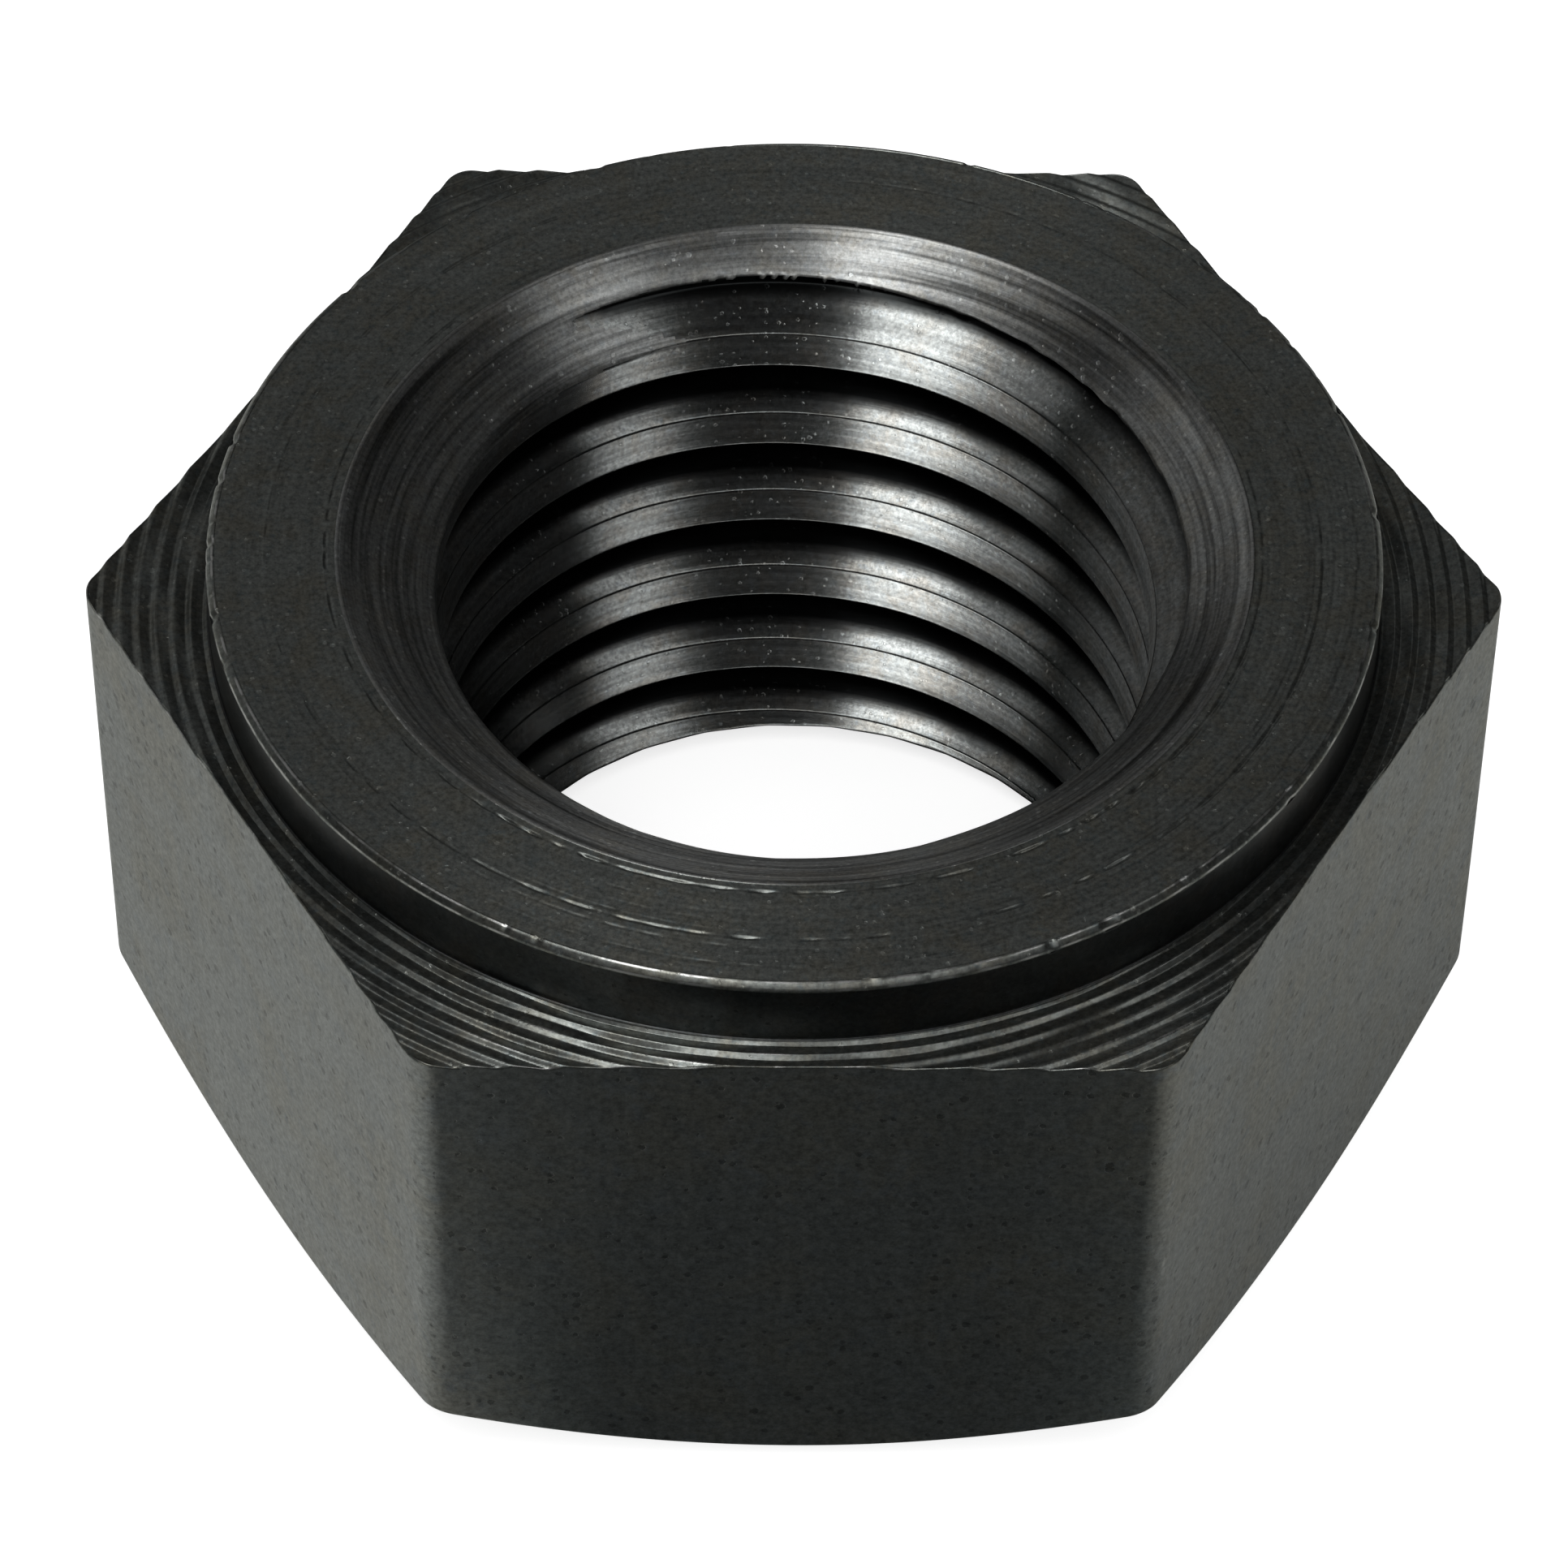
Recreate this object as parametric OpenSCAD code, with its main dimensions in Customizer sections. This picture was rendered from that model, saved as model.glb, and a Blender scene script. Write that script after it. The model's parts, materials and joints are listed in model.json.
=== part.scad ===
// Hex nut, M18 x 2.5, turned from hexagon bar, with a raised washer face on one end.
// Units are millimetres. The origin is the centre of the plain end; +Z runs along the
// thread towards the washer face. Two corners of the hexagon lie on the X axis, so two
// of its flats face +Y and -Y.

/* [Hexagon] */
// Distance between two opposite wrench flats
across_flats = 27; // [24:0.5:32]
// Overall height, plain end to washer face
nut_height = 15; // [12:0.1:22]
// How far the rounded corners stand inside the sharp hexagon
corner_relief = 0.12; // [0.04:0.01:0.4]

/* [Plain end] */
// Diameter of the flat ring left inside the corner chamfer
chamfer_diameter = 25.6; // [22:0.1:26]
// Angle of the corner chamfer, measured from the end face
chamfer_angle = 30; // [15:1:40]

/* [Washer face] */
// Diameter of the turned boss
boss_diameter = 25.5; // [21:0.1:26.5]
// Height of the boss above the shoulder
boss_height = 1.65; // [0.4:0.1:3]
// Edge break round the top of the boss
boss_edge_break = 0.15; // [0.05:0.01:0.3]
// Number of tool ridges cut into the shoulder
shoulder_rings = 6; // [2:1:8]
// Depth of the valley between two ridges
shoulder_ring_depth = 0.05; // [0.02:0.01:0.15]

/* [Thread] */
// Nominal thread size, the diameter at the bottom of the groove
thread_diameter = 18; // [16:0.5:18.4]
// Distance from one thread to the next
thread_pitch = 2.5; // [1.5:0.25:2.5]
// Diameter of the bored hole, across the thread crests
bore_diameter = 15.6; // [14.2:0.1:16]
// Direction in which the groove passes mid-height, round from +X
thread_start = 195; // [0:5:355]

/* [Countersinks] */
// Mouth diameter at the washer face
mouth_diameter = 19.8; // [18.8:0.1:20.5]
// Included angle at the washer face
mouth_angle = 110; // [80:1:130]
// Mouth diameter at the plain end
back_mouth_diameter = 17.5; // [16.6:0.1:18]
// Included angle at the plain end
back_mouth_angle = 120; // [90:1:130]

/* [Hidden] */
$fn = 96;
overrun = 1;
corner_radius = across_flats / 2 / cos(30) - corner_relief;
shoulder_z = nut_height - boss_height;
chamfer_rise = (corner_radius + overrun - chamfer_diameter / 2) * tan(chamfer_angle);
flank_angle = 30;
pitch_radius = thread_diameter / 2 - 3 / 8 * thread_pitch / 2 / tan(flank_angle);
groove_inner_radius = bore_diameter / 2 - thread_pitch / 5;
steps_per_turn = 48;
bore_sectors = 3;
sector_overlap = 1;
groove_margin = thread_pitch * 0.6;
groove_turns = (nut_height + 2 * groove_margin) / thread_pitch;
groove_steps = ceil(groove_turns * steps_per_turn);
ring_band = corner_radius - boss_diameter / 2;
ring_pitch = ring_band / (shoulder_rings + 0.5);

// Half the width of the thread groove at a radius, along the axis
function groove_half(r) = thread_pitch / 4 + (pitch_radius - r) * tan(flank_angle);

// Height of a cone between two radii, from its included angle
function cone_depth(r1, r2, angle) = (r1 - r2) / tan(angle / 2);

// Corner of the groove's section: 0 and 1 lie at its root, 2 and 3 inside the bore
function section_point(k) =
    let (r = k < 2 ? thread_diameter / 2 : groove_inner_radius)
    [r, groove_half(r) * (k == 0 || k == 3 ? -1 : 1)];

// One point of the groove's surface: step along the helix, corner of the section
function helix_point(step, k) =
    let (turn = step / steps_per_turn - groove_turns / 2, p = section_point(k))
    [p[0] * cos(turn * 360), p[0] * sin(turn * 360), p[1] + turn * thread_pitch];

hex_nut();

// The whole nut is one piece of steel.
module hex_nut() {
    color([0.16, 0.17, 0.17])
    difference() {
        union() {
            hexagon_body();
            washer_boss();
        }
        shoulder_ridges();
        bored_hole();
        thread_groove();
    }
}

// Hexagon bar, corners rounded off, chamfered at the plain end
module hexagon_body() {
    intersection() {
        cylinder(h = shoulder_z, r = across_flats / 2 / cos(30), $fn = 6);
        cylinder(h = shoulder_z, r = corner_radius);
        union() {
            cylinder(h = chamfer_rise, r1 = chamfer_diameter / 2, r2 = corner_radius + overrun);
            translate([0, 0, chamfer_rise])
                cylinder(h = shoulder_z, r = corner_radius + overrun);
        }
    }
}

// Turned boss whose top is the washer face
module washer_boss() {
    translate([0, 0, shoulder_z - overrun])
        cylinder(h = boss_height + overrun - boss_edge_break, d = boss_diameter);
    translate([0, 0, nut_height - boss_edge_break])
        cylinder(h = boss_edge_break, d1 = boss_diameter, d2 = boss_diameter - 2 * boss_edge_break);
}

// Rings left by the tool that faced the shoulder
module shoulder_ridges() {
    for (ring = [0:shoulder_rings - 1])
        translate([0, 0, shoulder_z])
            rotate_extrude()
                polygon([for (side = [-1, 0, 1])
                    [boss_diameter / 2 + (ring + 0.7 + side * 0.4) * ring_pitch,
                     side == 0 ? -shoulder_ring_depth : shoulder_ring_depth]]);
}

// Plain hole with a countersink at both ends
module bored_hole() {
    front_depth = cone_depth(mouth_diameter / 2, bore_diameter / 2, mouth_angle);
    back_depth = cone_depth(back_mouth_diameter / 2, bore_diameter / 2, back_mouth_angle);
    // Swept in overlapping sectors, so each stretch of thread crest is only part of a turn
    for (sector = [0:bore_sectors - 1])
        rotate([0, 0, sector * 360 / bore_sectors])
            rotate_extrude(angle = 360 / bore_sectors + sector_overlap)
                translate([0, -overrun])
                    square([bore_diameter / 2, nut_height + 2 * overrun]);
    translate([0, 0, nut_height - front_depth])
        cylinder(h = front_depth * 2, d1 = bore_diameter, d2 = 2 * mouth_diameter - bore_diameter);
    translate([0, 0, -back_depth])
        cylinder(h = back_depth * 2, d1 = 2 * back_mouth_diameter - bore_diameter, d2 = bore_diameter);
}

// Right-hand helical groove, cut right through both countersinks
module thread_groove() {
    translate([0, 0, nut_height / 2])
        rotate([0, 0, thread_start])
            polyhedron(
                points = [for (step = [0:groove_steps], k = [0:3]) helix_point(step, k)],
                faces = concat(
                    [[3, 2, 1, 0]],
                    [for (step = [0:groove_steps - 1], k = [0:3], half = [0:1])
                        let (a = step * 4 + k, b = step * 4 + (k + 1) % 4)
                        half == 0 ? [a, b, b + 4] : [a, b + 4, a + 4]],
                    [[for (k = [0:3]) groove_steps * 4 + k]]));
}
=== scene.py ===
import json
import math

import bpy
import numpy as np
from mathutils import Matrix, Vector


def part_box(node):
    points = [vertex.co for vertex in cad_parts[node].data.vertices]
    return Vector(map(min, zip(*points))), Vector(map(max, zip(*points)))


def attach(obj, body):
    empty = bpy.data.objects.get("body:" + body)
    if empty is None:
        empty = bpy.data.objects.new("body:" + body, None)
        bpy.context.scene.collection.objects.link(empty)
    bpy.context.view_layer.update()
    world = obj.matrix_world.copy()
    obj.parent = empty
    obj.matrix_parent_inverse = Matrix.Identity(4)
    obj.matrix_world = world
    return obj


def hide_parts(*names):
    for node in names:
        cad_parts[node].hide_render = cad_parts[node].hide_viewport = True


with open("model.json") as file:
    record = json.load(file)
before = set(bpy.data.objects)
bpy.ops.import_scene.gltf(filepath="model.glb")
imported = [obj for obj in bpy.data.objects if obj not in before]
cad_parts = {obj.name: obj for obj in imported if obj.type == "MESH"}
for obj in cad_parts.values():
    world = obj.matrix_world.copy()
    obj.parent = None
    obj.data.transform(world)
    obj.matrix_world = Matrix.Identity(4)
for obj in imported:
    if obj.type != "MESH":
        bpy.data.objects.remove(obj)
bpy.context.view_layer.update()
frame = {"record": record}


# ---------------------------------------------------------------- hexagon bar
# The nut is one length cut from bright-drawn hexagon steel bar. Its six wrench flats are
# the bar's own skin, so they are flat, and its corners are softly rounded by the drawing
# die. A lathe chamfers those corners at the plain end.
MM = 0.001
low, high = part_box("hex_nut")
nut_height = high[2] - low[2]
inside_box = 0.002 * MM
flat_reach = (high[1] - low[1]) / 2 - inside_box
corner_reach = (high[0] - low[0]) / 2 - inside_box
corner_round = (flat_reach / math.cos(math.pi / 6) - corner_reach) / (1 / math.cos(math.pi / 6) - 1)

chamfer_radius = 12.8 * MM
chamfer_slope = math.tan(math.radians(30))
boss_height = 1.65 * MM
shoulder_z = nut_height - boss_height

# Directions round the nut, closer together where a corner of the hexagon turns
ROUND_STEPS = 960
corner_crowding = 0.5
even = np.arange(ROUND_STEPS) * 2 * math.pi / ROUND_STEPS
angle = even - corner_crowding / 6 * np.sin(6 * even)


def hexagon_reach(a):
    """Distance from the axis to the rounded hexagon in direction a; its corners lie on X."""
    off_corner = np.abs((a + math.pi / 6) % (math.pi / 3) - math.pi / 6)
    straight = flat_reach / np.cos(math.pi / 6 - off_corner)
    centre = (flat_reach - corner_round) / math.cos(math.pi / 6)
    inside = np.maximum(corner_round**2 - (centre * np.sin(off_corner)) ** 2, 0)
    rounded = centre * np.cos(off_corner) + np.sqrt(inside)
    meet = math.atan2(corner_round / 2, centre + corner_round * math.cos(math.pi / 6))
    return np.where(off_corner < meet, rounded, straight)


def spaced(count, crowd=0.6):
    """Fractions from 0 to 1 for the inside of a stretch, closer together at its ends."""
    t = np.arange(1, count) / count
    return t + crowd * ((1 - np.cos(math.pi * t)) / 2 - t)


class Outline:
    """The nut's cross-section in every direction at once, gathered row by row."""

    def __init__(self):
        self.radius, self.height, self.surface, self.wear_and_highlight = [], [], [], []

    def row(self, r, z, surface, wear_and_highlight=0.0):
        """One point in every direction, and the finish of the face up to the next row."""
        self.radius.append(np.broadcast_to(r, ROUND_STEPS).astype(float))
        self.height.append(np.broadcast_to(z, ROUND_STEPS).astype(float))
        self.surface.append(surface)
        self.wear_and_highlight.append(np.broadcast_to(wear_and_highlight, ROUND_STEPS).astype(float))

    def stretch(self, start, end, count, surface):
        """The rows inside a straight stretch between two (radius, height) points."""
        for t in spaced(count):
            self.row(start[0] + (end[0] - start[0]) * t, start[1] + (end[1] - start[1]) * t, surface)

    def broken_edge(self, before, edge, after, size, count, surface, wear_and_highlight):
        """An edge rounded over `size` on both sides; returns where it starts and ends."""
        ends = []
        for side in (before, after):
            run_r, run_z = side[0] - edge[0], side[1] - edge[1]
            length = np.hypot(run_r, run_z)
            ends.append((edge[0] + run_r / length * size, edge[1] + run_z / length * size))
        for t in np.linspace(0, 1, count):
            a, b, c = (1 - t) ** 2, 2 * t * (1 - t), t * t
            self.row(a * ends[0][0] + b * edge[0] + c * ends[1][0],
                     a * ends[0][1] + b * edge[1] + c * ends[1][1],
                     surface, wear_and_highlight * math.sin(math.pi * t))
        return ends


# The finishes on one piece of steel, numbered in the order their materials are added
BAR_SKIN, TURNED, BOSS_WALL, COUNTERSINK, FLANK, CREST = range(6)
outline = Outline()
hexagon = hexagon_reach(angle)
chamfer_top = (hexagon - chamfer_radius) * chamfer_slope


# ------------------------------------------------------------------ plain end
# The end away from the washer face, parted off and faced flat. The corner chamfer runs
# out on the flats in six shallow curves, and a small countersink leads into the thread.
back_mouth_radius = 8.75 * MM
back_mouth_slope = math.tan(math.radians(60))
chamfer_edge = 0.09 * MM
mouth_edge_size = 0.05 * MM
ring_edge = (chamfer_radius, 0.0)
mouth_edge = (back_mouth_radius, 0.0)
flat_foot = (hexagon, chamfer_top)
flat_head = (hexagon, shoulder_z)
inside_mouth = (back_mouth_radius - 0.5 * MM, 0.5 * MM / back_mouth_slope)

mouth_end = outline.broken_edge(inside_mouth, mouth_edge, ring_edge, mouth_edge_size, 4, COUNTERSINK, 0.6)[1]
outline.stretch(mouth_end, (chamfer_radius - chamfer_edge, 0.0), 60, TURNED)
after = outline.broken_edge(mouth_edge, ring_edge, flat_foot, chamfer_edge, 5, TURNED, 0.5)[1]
foot_length = np.hypot(hexagon - chamfer_radius, chamfer_top)
foot_start = (hexagon - (hexagon - chamfer_radius) / foot_length * chamfer_edge,
              chamfer_top * (1 - chamfer_edge / foot_length))
outline.stretch(after, foot_start, 16, TURNED)
chamfer_rows = len(outline.radius)
after = outline.broken_edge(ring_edge, flat_foot, flat_head, chamfer_edge, 6, BAR_SKIN, 0.9)[1]

# The flats between the two edges, in the bar's own skin
rim_size = 0.05 * MM
outline.stretch(after, (hexagon, shoulder_z - rim_size), 70, BAR_SKIN)
flat_rows = len(outline.radius)


# ------------------------------------------------- shoulder and washer face
# The other end is turned in one setting: the tool first faces the shoulder, leaving coarse
# ridges on the six corners, then the boss wall, and last the washer face on top of it,
# with an edge break outside and a wide countersink inside.
boss_radius = 12.75 * MM
mouth_radius = 9.9 * MM
mouth_slope = math.tan(math.radians(55))
boss_break = 0.13 * MM
boss_root = (boss_radius, shoulder_z)
wall_top = (boss_radius, nut_height - boss_break)
face_rim = (boss_radius - boss_break, nut_height)
face_mouth = (mouth_radius, nut_height)
mouth_inside = (mouth_radius - 0.5 * MM, nut_height - 0.5 * MM / mouth_slope)

after = outline.broken_edge((hexagon, 0), flat_head, boss_root, rim_size, 6, TURNED, 0.9)[1]
root_size = 0.05 * MM
shoulder_first = len(outline.radius)
outline.stretch(after, (boss_radius + root_size, shoulder_z), 110, TURNED)
shoulder_last = len(outline.radius)
after = outline.broken_edge((hexagon, shoulder_z), boss_root, wall_top, root_size, 6, BOSS_WALL, 0.0)[1]
outline.stretch(after, (boss_radius, nut_height - boss_break - rim_size), 24, BOSS_WALL)
rim_first = len(outline.radius)
after = outline.broken_edge(boss_root, wall_top, face_rim, rim_size, 4, TURNED, 1.0)[1]
after = outline.broken_edge(wall_top, face_rim, face_mouth, rim_size, 4, TURNED, 1.0)[1]
rim_last = len(outline.radius)
lip_size = 0.06 * MM
outline.stretch(after, (mouth_radius + lip_size, nut_height), 190, TURNED)
face_last = len(outline.radius)
after = outline.broken_edge(face_rim, face_mouth, mouth_inside, lip_size, 5, COUNTERSINK, 0.7)[1]


# --------------------------------------------------------------------- thread
# A tap cuts the coarse right-hand thread through the bored and countersunk hole. The
# groove breaks out through both countersinks, so the first crest starts as a feather edge.
bore_radius = next(m for m in frame["record"]["mounts"] if m["name"] == "thread")["dims"]["r_mm"] * MM
pitch = 2.5 * MM
groove_radius = 9.0 * MM
flank_slope = math.tan(math.radians(30))
pitch_radius = groove_radius - 3 / 16 * pitch / flank_slope
groove_start = math.radians(195)
groove_mid = nut_height / 2 + pitch * (angle - groove_start) / (2 * math.pi)
crest_half = pitch / 4 + (pitch_radius - bore_radius) * flank_slope
root_half = pitch / 4 + (pitch_radius - groove_radius) * flank_slope
crest_taper = 0.12 * MM
crest_width = pitch - 2 * crest_half
crest_top_half = crest_half - crest_taper * flank_slope

# How softly the root, the mouth and the crest's edges turn, and what that adds to the hole
root_soft, mouth_soft, crest_soft = 0.05 * MM, 0.02 * MM, 0.035 * MM
blend_growth = 0.004 * MM


def waver(a, along, seed, turns, ripples, terms=14):
    """Smooth irregularity between about -1 and 1: up to `turns` waves round the nut and
    `ripples` waves per millimetre along the other coordinate."""
    pick = np.random.default_rng(seed)
    total = np.zeros(np.broadcast(a, along).shape)
    for _ in range(terms):
        count = pick.integers(1, turns + 1)
        total += np.cos(a * count + along / MM * pick.uniform(-ripples, ripples) * 2 * math.pi
                        + pick.uniform(0, 2 * math.pi))
    return total / math.sqrt(terms / 2) / 2


# Countersinking after tapping folds a ragged burr over the start of the groove
burr = (0.24 + 0.03 * waver(angle, 0, 51, 90, 0, 30)) * np.clip(np.sin(angle) * 2, 0, 1) * MM


def off_groove(z):
    """Height z above the middle of the nearest turn of the groove, in each direction."""
    return (z - groove_mid + pitch / 2) % pitch - pitch / 2


def blend_out(a, b, soft):
    """The larger of two radii, with the edge where they meet rounded over."""
    return (a + b + np.sqrt((a - b) ** 2 + soft**2)) / 2


def hole_radius(z):
    """Radius of the countersunk, tapped hole at height z in each direction."""
    off = off_groove(z)
    folded = np.clip((z - nut_height + 1.2 * MM) / (0.4 * MM), 0, 1) * (off > 0) * burr
    groove = pitch_radius + (pitch / 4 - np.abs(off) - folded) / flank_slope
    groove = -blend_out(-groove, -groove_radius, root_soft)
    front = mouth_radius - (nut_height - z) * mouth_slope
    back = back_mouth_radius - z * back_mouth_slope
    up_crest = np.clip((off - crest_half + pitch * (off < 0)) / crest_width, 0, 1)
    crown = bore_radius + crest_taper * up_crest
    plain = blend_out(np.maximum(front, back), crown, mouth_soft)
    return blend_out(plain, groove, crest_soft) - blend_growth


# Rows that climb with the thread, one of them on each edge of crest and root, closer
# together beside those edges. One turn further on, each row meets the row a pitch above.
edges = np.array([crest_half, root_half, -root_half, -crest_top_half])
beside = np.array([-0.04, -0.02, 0.0, 0.02, 0.04]) * MM
offsets = np.concatenate([np.linspace(-pitch / 2, pitch / 2, 37)[:-1], (edges[:, None] + beside).ravel()])
offsets = np.sort(offsets)[::-1]
rows_per_turn = len(offsets)
hole_top, hole_foot = after[1], mouth_edge_size / math.hypot(1, back_mouth_slope)

# Their heights in the first direction, from above the hole's top down past its foot
turns = np.arange(int(nut_height / pitch) + 2, -3, -1)
levels = (groove_mid[0] + pitch * turns[:, None] - pitch * 3 + offsets).ravel()
first, last = np.flatnonzero(levels >= hole_top)[-1], np.flatnonzero(levels + pitch <= hole_foot)[0]
levels = levels[first:last + 1]
climbed = levels[:, None] + pitch * angle / (2 * math.pi)
heights = np.clip(climbed, hole_foot, hole_top)
hole_first = len(outline.radius)
for z in heights:
    off = off_groove(z)
    on_edge = np.exp(-(((off - crest_half) / (0.05 * MM)) ** 2))
    reach = hole_radius(z)
    outline.row(reach, z, FLANK, on_edge * (reach < bore_radius + 0.15 * MM))
hole_last = len(outline.radius)

radius = np.array(outline.radius)
height = np.array(outline.height)
wear_and_highlight = np.array(outline.wear_and_highlight)
rows = len(radius)


# ----------------------------------------------------------- marks of making
# What the lathe, the tap and handling leave in the steel itself: ridges on the shoulder, scored rings and a
# faint wave on the washer face, and nicked, rubbed edges. Besides these, the shoulder's ridge tops get a
# painted highlight and the thread's groove painted shade.

# Facing ridges, which run out through the top of the flats and leave small teeth there
tool_pitch = 0.39 * MM
ridge_depth = 0.10 * MM
rough = slice(flat_rows - 10, shoulder_last)
span = radius[rough]
phase = (span - boss_radius) / tool_pitch + 0.12 * waver(angle, span, 4, 4, 0.3)
ridge = np.where(phase % 1 < 0.3, (0.3 - phase % 1) / 0.3, (phase % 1 - 0.3) / 0.7)
uneven = 0.8 + 0.4 * waver(angle, span, 3, 30, 1.2, 24)
run_in = np.clip((height[rough] - shoulder_z + 0.5 * MM) / (0.45 * MM), 0, 1)
height[rough] -= ridge_depth * (1 - ridge) * np.clip(uneven, 0.3, 1.2) * run_in
# Ridge tops turned to bright steel, most on the front side: partly rubbed, partly painted highlight
ridge_wear_and_highlight = np.clip((ridge - 0.6) / 0.4, 0, 1) * np.clip(0.3 + waver(angle, span, 7, 60, 1.5, 30), 0, 1)
ridge_wear_and_highlight *= ((1 - np.sin(angle)) / 2) ** 2 * run_in**8
wear_and_highlight[rough] = np.maximum(wear_and_highlight[rough], ridge_wear_and_highlight)

# The washer face: a faint wave, fine tool lines and scored rings (radius mm, depth mm,
# whole). A whole ring goes all the way round; the others are stretches of one.
face = slice(rim_last, face_last)
span = radius[face]
fine_pitch = 0.13 * MM
fine_depth = 0.0007 * MM
face_wave = 0.012 * MM
height[face] -= face_wave * (0.5 + 0.5 * waver(angle, span, 5, 5, 0.2))
height[face] -= fine_depth * (1 + np.cos(span / fine_pitch * 2 * math.pi + waver(angle, span, 6, 3, 0.4)))
scored = np.random.default_rng(12)
rings = [(11.45, 0.036, 1.0), (10.16, 0.036, 1.0)] + [
    (scored.uniform(10.3, 12.4), scored.uniform(0.003, 0.009), 0.0) for _ in range(12)]
for place, depth, whole in rings:
    start, reach = scored.uniform(0, 2 * math.pi), scored.uniform(0.6, 2.4)
    off = np.abs((angle - start + math.pi) % (2 * math.pi) - math.pi)
    part = np.maximum(1 / (1 + np.exp((off - reach) * 8)), whole * 0.6) * (0.6 - 0.4 * np.sin(angle))
    broken = np.clip(0.6 + 0.9 * waver(angle, 0, int(place * 1000), 110, 0, 24), 0.1, 1.3)
    height[face] -= depth * MM * part * broken * np.exp(-(((span - place * MM) / (0.04 * MM)) ** 2))

# Nicks along the boss's rim
rim = slice(rim_first, rim_last)
nick_depth = 0.05 * MM
nicks = nick_depth * np.clip(waver(angle, 0, 21, 150, 0, 40) - 0.55, 0, 1)
height[rim] -= nicks
radius[rim] -= nicks
wear_and_highlight[rim] *= np.clip(0.75 + 0.7 * waver(angle, 0, 22, 90, 0, 30), 0.2, 1.3)

# Torn edges of the thread's crests
hole = slice(hole_first, hole_last)
torn = np.clip(0.55 + 0.9 * waver(angle, height[hole], 31, 70, 0.5, 30), 0, 1.3)
tear_depth = 0.006 * MM
radius[hole] += tear_depth * np.clip(torn - 0.6, 0, 1) * (wear_and_highlight[hole] > 0.1)
wear_and_highlight[hole] *= torn

# Slight hollows in the flats, and scuffs along their edges and the hexagon's corners
side = slice(chamfer_rows, flat_rows + 6)
hollow_depth = 0.012 * MM
hollow = hollow_depth * (1 + waver(angle, height[side], 41, 12, 0.12)) / 2
radius[side] -= hollow
corner_line = np.exp(-((hexagon - corner_reach) / (0.12 * MM)) ** 2)
scuffs = np.clip(waver(angle, height[side], 42, 200, 0.5, 30) - 0.5, 0, 1)
wear_and_highlight[side] = np.maximum(wear_and_highlight[side] * np.clip(waver(angle, 0, 43, 120, 0, 30) * 2, 0, 1),
                        corner_line * scuffs)
wear_and_highlight = np.clip(wear_and_highlight, 0, 1)

# Painted shade in the groove: darkened from 8.2 mm off the axis out to the root, where the crest above shades
# the flank, less near the top, where the countersink opens the first turn, and none on the countersink itself
under_lip = np.clip((height[hole] - nut_height + 2.1 * MM) / (0.5 * MM), 0, 1)
groove_shade = np.zeros_like(radius)
groove_shade_radius = 8.20 * MM
depth_there = pitch_radius + (pitch / 4 - np.abs(off_groove(height[hole]))) / flank_slope
groove_shade[hole] = np.clip((depth_there - groove_shade_radius - 0.42 * MM * under_lip) / (0.20 * MM), 0, 1)
groove_shade[hole] *= np.clip((radius[hole] - mouth_radius + (nut_height - height[hole]) * mouth_slope)
                     / (0.06 * MM), 0, 1)
height = np.clip(height, 0, nut_height)

spots = np.stack([radius * np.cos(angle), radius * np.sin(angle), height], axis=-1).reshape(-1, 3)

# Where a climbing row runs out at the top or foot of the thread it joins the level row there
row_used = np.repeat(np.arange(rows)[:, None], ROUND_STEPS, axis=1)
row_used[hole][heights >= hole_top] = hole_first
row_used[hole][heights <= hole_foot] = hole_last - 1
here = row_used * ROUND_STEPS + np.arange(ROUND_STEPS)
beyond = np.roll(here, -1, axis=1)
beyond[hole, -1] = here[np.maximum(np.arange(hole_first, hole_last) - rows_per_turn, hole_first), 0]
corners = np.stack([here, beyond, np.roll(beyond, -1, axis=0), np.roll(here, -1, axis=0)], axis=-1)

surfaces = np.repeat(np.array(outline.surface)[:, None], ROUND_STEPS, axis=1)
midway = (climbed + np.roll(climbed, -1, axis=0)) / 2
from_groove = off_groove(midway)
mouth_reach = np.maximum(mouth_radius - (nut_height - height[hole]) * mouth_slope,
                         back_mouth_radius - height[hole] * back_mouth_slope)
surfaces[hole][(from_groove > crest_half) | (from_groove < -crest_top_half)] = CREST
surfaces[hole][(radius[hole] < mouth_reach + 0.02 * MM) & (mouth_reach > bore_radius)] = COUNTERSINK

corners, surfaces = corners.reshape(-1, 4), surfaces.ravel()
left_shut, right_shut = corners[:, 0] == corners[:, 3], corners[:, 1] == corners[:, 2]
whole = ~left_shut & ~right_shut
quads = corners[whole]
three = np.concatenate([corners[left_shut & ~right_shut][:, [0, 1, 2]],
                        corners[right_shut & ~left_shut][:, [0, 1, 3]]])
surfaces = np.concatenate([surfaces[whole], surfaces[left_shut & ~right_shut],
                           surfaces[right_shut & ~left_shut]])
used, loops = np.unique(np.concatenate([quads.ravel(), three.ravel()]), return_inverse=True)
spots, wear_and_highlight, groove_shade = spots[used], wear_and_highlight.ravel()[used], groove_shade.ravel()[used]
sides = np.concatenate([np.full(len(quads), 4), np.full(len(three), 3)])

mesh = bpy.data.meshes.new("hex_nut_steel")
mesh.vertices.add(len(spots))
mesh.vertices.foreach_set("co", spots.ravel())
mesh.loops.add(len(loops))
mesh.loops.foreach_set("vertex_index", loops)
mesh.polygons.add(len(sides))
mesh.polygons.foreach_set("loop_start", np.cumsum(sides) - sides)
mesh.polygons.foreach_set("loop_total", sides)
mesh.polygons.foreach_set("material_index", surfaces.astype(np.int32))
mesh.update(calc_edges=True)
mesh.validate()
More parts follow.
